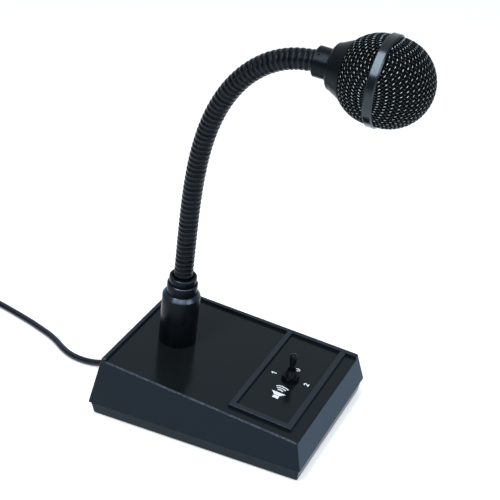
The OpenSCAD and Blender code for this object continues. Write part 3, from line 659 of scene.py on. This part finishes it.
def rib_ring(centre, turn, u):
    radius = rib_profile(u)
    rise = rib_profile(u + SLOPE_STEP) - rib_profile(u - SLOPE_STEP)
    slope = rise / (2 * SLOPE_STEP) / RIB_PITCH
    crown = ((radius - NECK_R) / RIB_DEPTH + 1) ** CROWN_POWER
    return ring(centre, turn, radius, 1.0, -slope, crown)


def on_bend(k, s):
    """Centre and turn at s of the way from the middle of one link to that of link k."""
    t0, bend = NECK_TURNS[k - 1], NECK_TURNS[k] - NECK_TURNS[k - 1]
    turn = t0 + bend * s
    if abs(bend) < STRAIGHT:
        return NECK_MIDS[k - 1] + s * (NECK_MIDS[k] - NECK_MIDS[k - 1]), turn
    radius = LINK_L / 2 / math.tan(bend / 2)
    swing = across_and_along(turn)[0] - across_and_along(t0)[0]
    return NECK_MIDS[k - 1] + radius * swing, turn


def parting(k):
    """Half of the parting over flexing place k, wide enough for its bend, as a share of a link."""
    return ((NECK_R - RIB_DEPTH) * math.tan(NECK_REACH[k] / 2) + PARTING_SPARE) / LINK_L


def bend_rows(k, low, high):
    count = int(NECK_ROWS * (high - low))
    return [
        rib_ring(*on_bend(k, s), RIBS_PER_LINK * (k - 0.5 + s))
        for s in np.linspace(low, high, count + 1)
    ]


def low_end(k):
    """Rows from flexing place k up to the middle of its link."""
    s = 0.5 + parting(k)
    return [ring(*on_bend(k, s), LIP_R, 0.0, -1.0)] + bend_rows(k, s, 1.0)


def high_end(k):
    """Rows from the middle of a link up to flexing place k."""
    s = 0.5 - parting(k)
    return bend_rows(k, 0.0, s) + [ring(*on_bend(k, s), LIP_R, 0.0, 1.0)]


def start_rows():
    """Rows from the start in the cup up to the middle of the first link."""
    start_l = CUP_SHANK_L + LINK_L / 2
    count = int(NECK_ROWS * start_l / LINK_L)
    rows = []
    for s in np.linspace(-start_l, 0.0, count + 1):
        centre = NECK_MIDS[0] + s * (NECK_AT[1] - NECK_AT[0]) / LINK_L
        rows.append(rib_ring(centre, NECK_TURNS[0], RIBS_PER_LINK * (0.5 + s / LINK_L)))
    return rows


def end_rows():
    """Rows from the middle of the last link, turning into the ferrule at its mouth."""
    last = LINKS - 1
    end_l = LINK_L / 2 + SHANK_L
    count = int(NECK_ROWS * end_l / LINK_L)
    centre = NECK_MIDS[last].copy()
    rows = []
    for i in range(count + 1):
        s = i / count * end_l
        turned = smooth_step((s - LINK_L / 2) / MOUTH_TURN_L + 0.5)
        turn = NECK_TURNS[last] + (HEAD_TURN - NECK_TURNS[last]) * turned
        if i:
            centre = centre + end_l / count * across_and_along(turn)[1]
        rows.append(rib_ring(centre, turn, RIBS_PER_LINK * (last + 0.5 + s / LINK_L)))
    return rows


def ball_rows(k):
    """Rows of the ball that shows in the parting over flexing place k."""
    centre, turn = on_bend(k, 0.5)
    along = across_and_along(turn)[1]
    rows = []
    for a in np.linspace(-BALL_SPAN, BALL_SPAN, BALL_ROWS):
        rise, lean = math.cos(a), math.sin(a)
        rows.append(ring(centre + BALL_R * lean * along, turn, BALL_R * rise, rise, lean))
    return rows


def inside(row, radius):
    """The ring on the inner wall behind a ring of the skin."""
    centre = row[0].mean(axis=0)
    out = (row[0] - centre) / np.linalg.norm(row[0] - centre, axis=1)[:, None]
    return centre + radius * out, -out, np.zeros(NECK_AROUND)


def walled(rows, radius, every):
    """Rows of a skin, and back along its inner wall."""
    return rows + [inside(row, radius) for row in rows[:0:-every] + rows[:1]]


def make_link(k):
    low = low_end(k) if k else start_rows()
    high = high_end(k + 1) if k < LINKS - 1 else end_rows()
    rows = walled(low + high[1:], INNER_R, INNER_EVERY)
    faces = grid_faces(len(rows), NECK_AROUND, closed=True)
    if k:
        ball = walled(ball_rows(k), BALL_BORE_R, BALL_ROWS)
        faces += grid_faces(len(ball), NECK_AROUND, len(rows) * NECK_AROUND, closed=True)
        rows += ball
    points, normals, crowns = (np.concatenate(part) for part in zip(*rows))
    made = piece("neck_wound_%02d" % k, points * MM, faces, NECK_METAL)
    set_crown(made, crowns)
    made.data.normals_split_custom_set_from_vertices([tuple(n) for n in normals])
    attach(made, NECK_BODIES[k])
    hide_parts("neck_seg_%02d" % k)


for link in range(LINKS):
    make_link(link)


# Woven grille and the foam behind it

NET_COUNT = 18
NET_TURN = math.radians(45)
WIRE_STEPS, WIRE_SIDES = 5, 6
WIRE_GAP = 0.01
WEAVE_R = GRILLE_R - WIRE_D - WIRE_GAP
WEAVE_LIFT = WIRE_D / 2 + WIRE_GAP
# One wire family's crowns are paler than the other's: painted highlight where the light catches
# that family.
FAMILY_CROWN_HIGHLIGHTS = (0.6, 1.0)
SHORTEST_WIRE = 4
NO_LENGTH = 1e-9
RIM_LAP, REAR_RIM_GAP = 0.4, 0.3
WHOLE_DOME = GRILLE_R + 1
FOAM_GAP, FOAM_REAR_GAP = 0.35, 0.6
FOAM_CORE_R, FOAM_CORE_END, FOAM_TIP_R = 11.6, 48.4, 0.05
FOAM_TIP_ANGLE = math.pi / 2 - 0.02
FOAM_REAR_STEPS, FOAM_FRONT_STEPS, FOAM_AROUND = 20, 30, 96


def woven_net():
    """Crossings, on a unit dome, of wires that keep their spacing: each comes from three others
    by reflection."""
    step = 2 * math.asin(WIRE_PITCH / (2 * WEAVE_R))
    net = np.zeros((2 * NET_COUNT + 1, 2 * NET_COUNT + 1, 3))

    def on_circle(i, direction):
        a = i * step
        return np.array([
            math.sin(a) * math.cos(direction), math.sin(a) * math.sin(direction), math.cos(a)])

    for i in range(-NET_COUNT, NET_COUNT + 1):
        net[NET_COUNT + i, NET_COUNT] = on_circle(i, NET_TURN)
        net[NET_COUNT, NET_COUNT + i] = on_circle(i, NET_TURN + math.pi / 2)
    for way_i in (-1, 1):
        for way_j in (-1, 1):
            fill_quarter(net, way_i, way_j)
    return net


def fill_quarter(net, way_i, way_j):
    """Each crossing of a quarter of the net, from its neighbours nearer the middle."""
    def at(i, j):
        return NET_COUNT + way_i * i, NET_COUNT + way_j * j

    for i in range(1, NET_COUNT + 1):
        for j in range(1, NET_COUNT + 1):
            a, b, d = net[at(i, j - 1)], net[at(i - 1, j)], net[at(i - 1, j - 1)]
            n = np.cross(a, b)
            n = n / max(np.linalg.norm(n), NO_LENGTH)
            net[at(i, j)] = d - 2 * (d @ n) * n


def runs(inside_dome):
    """Stretches of neighbouring places inside the dome's part, as lists of their numbers."""
    run = []
    for q, is_inside in enumerate(list(inside_dome) + [False]):
        if is_inside:
            run.append(q)
            continue
        if len(run) >= SHORTEST_WIRE:
            yield run
        run = []


def wire_tube(line, heights, bright):
    """Points and crowns of a wire along a line, brightest where it is on top of the weave."""
    tangent = np.gradient(line, axis=0)
    tangent /= np.linalg.norm(tangent, axis=1)[:, None]
    out = line / np.linalg.norm(line, axis=1)[:, None]
    side = np.cross(tangent, out)
    side /= np.linalg.norm(side, axis=1)[:, None]
    out = np.cross(side, tangent)
    points, crowns = [], []
    for p, o, s, h in zip(line, out, side, heights):
        for k in range(WIRE_SIDES):
            a = 2 * math.pi * k / WIRE_SIDES
            points.append(p + WIRE_D / 2 * (math.cos(a) * o + math.sin(a) * s))
            crowns.append(bright * max(0.0, math.cos(a)) * max(0.0, h))
    return points, crowns


def wires(net, low, high):
    """Line, heights and brightness of each wire on the part of a dome between two depths."""
    families = zip((net, net.transpose(1, 0, 2)), (1, -1), FAMILY_CROWN_HIGHLIGHTS)
    for grid, way, bright in families:
        for i, knots in enumerate(grid):
            line = np.array(through(knots, WIRE_STEPS))
            line /= np.linalg.norm(line, axis=1)[:, None]
            t = np.arange(len(line)) / WIRE_STEPS
            over = np.cos(math.pi * (t + i)) * way
            line = line * (WEAVE_R + WEAVE_LIFT * over)[:, None]
            for run in runs((line[:, 2] > low) & (line[:, 2] < high)):
                yield line[run], over[run], bright


def woven_dome(name, low, high, facing, rim, nodes):
    """Wires over and under each other on a dome that faces forward (1) or back (-1)."""
    vertices, faces, crowns = [], [], []
    for line, heights, bright in wires(woven_net(), low, high):
        start = len(vertices)
        last = start + (len(line) - 1) * WIRE_SIDES
        points, bare_and_highlit = wire_tube(line, heights, bright)
        vertices += points
        crowns += bare_and_highlit
        faces += grid_faces(len(line), WIRE_SIDES, start)
        faces.append(tuple(range(start + WIRE_SIDES - 1, start - 1, -1)))
        faces.append(tuple(range(last, last + WIRE_SIDES)))
    points = np.array(vertices) * np.array([1, 1, facing]) + np.array([0, 0, rim])
    if facing < 0:
        faces = [face[::-1] for face in faces]
    made = piece(name, from_head(points), faces, WIRE)
    set_crown(made, crowns)
    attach(made, "head")
    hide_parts(*nodes)


woven_dome(
    "grille_front", -RIM_LAP, WHOLE_DOME, 1, BAND_FRONT,
    ("front_grille_warp", "front_grille_weft"),
)
woven_dome(
    "grille_rear", -RIM_LAP, REAR_DOME - REAR_RIM_GAP, -1, BAND_REAR,
    ("rear_grille_warp", "rear_grille_weft"),
)


def foam_profile():
    """(Radius, distance) points round the foam: its domes, its tip and the core inside it."""
    lump = GRILLE_R - 2 * WIRE_D - FOAM_GAP
    cut = REAR_DOME - FOAM_REAR_GAP
    rear_angles = [
        -math.asin(cut / lump) * (1 - i / FOAM_REAR_STEPS) for i in range(FOAM_REAR_STEPS + 1)
    ]
    front_angles = np.linspace(0, FOAM_TIP_ANGLE, FOAM_FRONT_STEPS)
    profile = [(FOAM_CORE_R, BAND_REAR - cut)]
    profile += [(lump * math.cos(a), BAND_REAR + lump * math.sin(a)) for a in rear_angles]
    profile += [(lump * math.cos(a), BAND_FRONT + lump * math.sin(a)) for a in front_angles]
    profile += [(FOAM_TIP_R, BAND_FRONT + lump), (FOAM_TIP_R, FOAM_CORE_END)]
    profile += [(FOAM_CORE_R, FOAM_CORE_END), (FOAM_CORE_R, BAND_REAR - cut)]
    return profile


def make_foam():
    profile = foam_profile()
    points = [p for r, z in profile for p in circle(r, z, FOAM_AROUND)]
    faces = grid_faces(len(profile), FOAM_AROUND)
    foam = piece("foam_lining", from_head(points), faces, FOAM)
    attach(foam, "head")
    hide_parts("foam_liner")


make_foam()


# Switch: the bushing's thread and the nut

BUSHING_AROUND, NUT_AROUND = 48, 96
THREAD_PITCH, THREAD_DEPTH, THREAD_ROWS = 0.7, 0.32, 8
THREAD_FADE, BUSHING_ROUND = 0.5, 0.25
NUT_CLEARANCE, NUT_MOUTH, NUT_MOUTH_H = 0.1, 0.25, 0.2
SIXTH = math.pi / 3
# Distances in from each end of the nut, and its greatest radius there as a share of half its width
NUT_ENDS = ((0.0, 0.97), (0.001, 1.0), (0.3, 1.1), (0.6, 1.2))


def on_deck(name, points, faces, material, smooth=True):
    """A piece that stands on the deck round the switch."""
    place = deck_frame(SWITCH_X, SWITCH_V)
    vertices = [place @ (Vector(p) * MM) for p in points]
    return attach(piece(name, vertices, faces, material, smooth), "base")


def make_bushing():
    """Threaded bushing with a bore and a plain top face."""
    low, high, bore_r = -WALL, BUSHING_H, BUSHING_BORE / 2
    rows = int((high - low) / THREAD_PITCH * THREAD_ROWS)
    points = []
    for i in range(rows + 1):
        z = low + (high - low) * i / rows
        fade = min(1.0, (high - z) / THREAD_FADE)
        for j in range(BUSHING_AROUND):
            a = 2 * math.pi * j / BUSHING_AROUND
            f = (z / THREAD_PITCH - j / BUSHING_AROUND) % 1.0
            r = BUSHING_D / 2 - THREAD_DEPTH * abs(2 * f - 1) * fade - (1 - fade) * BUSHING_ROUND
            points.append((r * math.cos(a), r * math.sin(a), z))
    bore = ((bore_r + BUSHING_ROUND, high), (bore_r, high - BUSHING_ROUND), (bore_r, low))
    for r, z in bore:
        points += circle(r, z, BUSHING_AROUND)
    faces = grid_faces(rows + 1 + len(bore), BUSHING_AROUND, closed=True)
    made = on_deck("bushing_thread", points, faces, BLACK_METAL)
    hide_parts("switch_bushing")


def make_nut():
    """Hexagon nut with its corners turned down at both ends."""
    bore_r = BUSHING_D / 2 + NUT_CLEARANCE
    levels = list(NUT_ENDS) + [(NUT_T - h, corner) for h, corner in reversed(NUT_ENDS)]
    points = []
    for h, corner in levels:
        for j in range(NUT_AROUND):
            a = 2 * math.pi * j / NUT_AROUND
            flat = (a + SIXTH / 2) % SIXTH - SIXTH / 2
            r = min(NUT_W / 2 / math.cos(flat), NUT_W / 2 * corner)
            turned = a + SIXTH / 2
            points.append((r * math.cos(turned), r * math.sin(turned), WASHER_T + h))
    mouth_r = bore_r + NUT_MOUTH
    bore = (
        (mouth_r, NUT_T), (bore_r, NUT_T - NUT_MOUTH_H), (bore_r, NUT_MOUTH_H), (mouth_r, 0.0),
    )
    for r, h in bore:
        points += circle(r, WASHER_T + h, NUT_AROUND, SIXTH / 2)
    faces = grid_faces(len(levels) + len(bore), NUT_AROUND, closed=True)
    made = on_deck("nut", points, faces, BLACK_METAL, smooth=False)
    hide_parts("switch_nut")


make_bushing()
make_nut()


# Printed marks: plain numbers and a sound sign, in millimetres on the deck

PRINT_H = 0.04
STROKE, DIGIT_H = 0.8, 3.8
ZERO_R, ZERO_STRAIGHT = 1.4, 0.9
TWO_R, TWO_FOOT = 1.2, 1.25
BAND_STEPS = 16
ONE_AT, ZERO_AT, TWO_AT, SIGN_AT = (2.9, -34.2), (14.2, -46.2), (3.3, -57.4), (-14.2, -43.5)
SIGN_WAVES, WAVE_W, WAVE_SPAN = (2.6, 4.6, 6.6), 0.9, 38


def flat_mark(name, shapes, at):
    """Thin flat shapes of ink on the deck, each an outline about a place."""
    points, faces = [], []
    for shape in shapes:
        start = len(points)
        points += [(px, py, PRINT_H) for px, py in shape]
        faces.append(tuple(range(start, start + len(shape))))
    place = deck_frame(*at)
    made = piece(name, [place @ (Vector(p) * MM) for p in points], faces, INK, smooth=False)
    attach(made, "base")


def bar(x0, y0, x1, y1):
    return [(x0, y0), (x1, y0), (x1, y1), (x0, y1)]


def curved_stroke(y, r0, r1, a0, a1):
    """A curved stroke about (0, y), as separate convex quads."""
    angles = [math.radians(a0 + (a1 - a0) * i / BAND_STEPS) for i in range(BAND_STEPS + 1)]
    return [
        [(r * math.cos(q), y + r * math.sin(q)) for r, q in ((r0, p), (r1, p), (r1, s), (r0, s))]
        for p, s in zip(angles, angles[1:])
    ]


def digit_one():
    half = STROKE / 2
    flag = [(-half, DIGIT_H), (-1.3, DIGIT_H - 1.0), (-1.3, DIGIT_H - 1.7), (-half, DIGIT_H - 1.0)]
    return [bar(-half, 0, half, DIGIT_H), flag]


def digit_zero():
    inner, top = ZERO_R - STROKE, DIGIT_H - ZERO_STRAIGHT
    shapes = [bar(-ZERO_R, ZERO_STRAIGHT, -inner, top), bar(inner, ZERO_STRAIGHT, ZERO_R, top)]
    shapes += curved_stroke(DIGIT_H - ZERO_R, inner, ZERO_R, 0, 180)
    return shapes + curved_stroke(ZERO_R, inner, ZERO_R, 180, 360)


def digit_two():
    shapes = curved_stroke(DIGIT_H - TWO_R, TWO_R - STROKE, TWO_R, -40, 180)
    slant = [(-TWO_FOOT, STROKE), (-0.2, STROKE), (1.05, DIGIT_H - 2.0), (0.4, DIGIT_H - 1.6)]
    return shapes + [bar(-TWO_FOOT, 0, TWO_FOOT, STROKE), slant]


def sound_sign():
    shapes = [bar(-6.0, -2.0, -3.2, 2.0), [(-2.8, -2.0), (0.4, -5.0), (0.4, 5.0), (-2.8, 2.0)]]
    for r in SIGN_WAVES:
        shapes += curved_stroke(0.0, r, r + WAVE_W, -WAVE_SPAN, WAVE_SPAN)
    return shapes


flat_mark("mark_one", digit_one(), ONE_AT)
flat_mark("mark_zero", digit_zero(), ZERO_AT)
flat_mark("mark_two", digit_two(), TWO_AT)
flat_mark("mark_sound", sound_sign(), SIGN_AT)


# Materials and rounded edges of the CAD nodes that stay

WELD_GAP = 1e-6
SHARP = math.radians(30)
EDGE_SEGMENTS = 2
COLUMN_ROUND, RING_ROUND = 0.2, 0.15


def dress(material, *names):
    for name in names:
        slots = NODES[name].data.materials
        slots.clear()
        slots.append(material)


def soften(name, width):
    """A small round on the sharp edges of a node."""
    joined = NODES[name].modifiers.new("joined", "WELD")
    joined.merge_threshold = WELD_GAP
    bevel = NODES[name].modifiers.new("edges", "BEVEL")
    bevel.width, bevel.segments = width * MM, EDGE_SEGMENTS
    bevel.limit_method, bevel.angle_limit = "ANGLE", SHARP
    bevel.use_clamp_overlap = True
    bevel.harden_normals = False


dress(CASE, "top_shell")
dress(TRAY, "bottom_tray")
dress(RUBBER, "rubber_feet", "coil_tie", "cord_relief")
dress(STEEL, "case_screws", "deck_washer", "deck_nut", "switch_terminals", "capsule")
dress(CAST, "ballast_plate")
dress(MOULDED, "switch_body", "capsule_holder", "plug_body")
dress(BLACK_METAL, "switch_washer", "head_ferrule", "grub_screw", "head_collar")
dress(COLUMN, "neck_column", "neck_collar", "neck_cup")
dress(LEVER, "switch_lever")
dress(GLOSS, "grille_band")
dress(NICKEL, "plug_shell")
dress(BRASS, "plug_pins")
soften("neck_column", COLUMN_ROUND)
soften("neck_collar", RING_ROUND)
soften("neck_cup", RING_ROUND)


# Floor and light, in metres and watts

FLOOR_HALF, FLOOR_DROP, FLOOR_GLOW = 6, 0.0002, 0.36
FLOOR_WHITE = rgba(0.86, 0.87, 0.88)
ROOM_COLOUR = rgba(0.86, 0.93, 1.0)
BACKDROP_SIDE = (0.78, 0.36, 0.5)
BACKDROP_FADE = {"From Min": 0.1, "From Max": 0.9, "To Min": 0.24, "To Max": 0.8}
# Name, place, what it is aimed at, size, power and colour
LAMPS = (
    ("overhead", (-0.55, 0.15, 1.2), (0, 0, 0.15), (0.3, 1.2), 14, (0.86, 0.93, 1.0)),
    ("front", (-0.25, -1.3, 0.7), (0, 0, 0.1), (0.8, 0.6), 7, (0.88, 0.95, 1.0)),
    ("beside_camera", (-0.74, -0.44, 0.88), (0, 0, 0.12), (0.7, 0.25), 4.6, (0.85, 0.92, 1.0)),
)


def floor_material():
    """Pale floor that looks white; its own glow isn't light on the object."""
    n = Nodes("floor")
    n.set(Base_Color=FLOOR_WHITE, Roughness=0.9, Specular_IOR_Level=0.0)
    path = n.add("ShaderNodeLightPath").outputs
    seen = n.math("MAXIMUM", path["Is Camera Ray"], path["Is Glossy Ray"])
    seen = n.math("MAXIMUM", seen, path["Is Transmission Ray"])
    n.set(Emission_Color=rgba(1, 1, 1), Emission_Strength=n.product(seen, FLOOR_GLOW))
    return n.material


def make_floor():
    corners = [(x, y, 0) for x, y in bar(-FLOOR_HALF, -FLOOR_HALF, FLOOR_HALF, FLOOR_HALF)]
    floor = piece("floor", corners, [(0, 1, 2, 3)], floor_material(), smooth=False)
    floor.location.z = -FLOOR_DROP


def make_world():
    """A dim room with a pale backdrop on the far side."""
    world = bpy.data.worlds.new("studio")
    world.use_nodes = True
    tree = world.node_tree
    background = tree.nodes["Background"]
    background.inputs["Color"].default_value = ROOM_COLOUR
    where = tree.nodes.new("ShaderNodeTexCoord").outputs["Generated"]
    dot = tree.nodes.new("ShaderNodeVectorMath")
    dot.operation = "DOT_PRODUCT"
    dot.inputs[1].default_value = BACKDROP_SIDE
    tree.links.new(where, dot.inputs[0])
    fade = tree.nodes.new("ShaderNodeMapRange")
    fade.interpolation_type = "SMOOTHSTEP"
    for key, value in BACKDROP_FADE.items():
        fade.inputs[key].default_value = value
    tree.links.new(dot.outputs["Value"], fade.inputs["Value"])
    tree.links.new(fade.outputs["Result"], background.inputs["Strength"])
    SCENE.world = world


def make_lamp(name, place, target, size, power, colour):
    data = bpy.data.lights.new(name, "AREA")
    data.shape = "RECTANGLE"
    data.size, data.size_y = size
    data.energy = power
    data.color = colour
    light = bpy.data.objects.new(name, data)
    light.location = place
    light.rotation_mode = "QUATERNION"
    light.rotation_quaternion = (Vector(target) - Vector(place)).to_track_quat("-Z", "Y")
    SCENE.collection.objects.link(light)


make_floor()
make_world()
for lamp in LAMPS:
    make_lamp(*lamp)
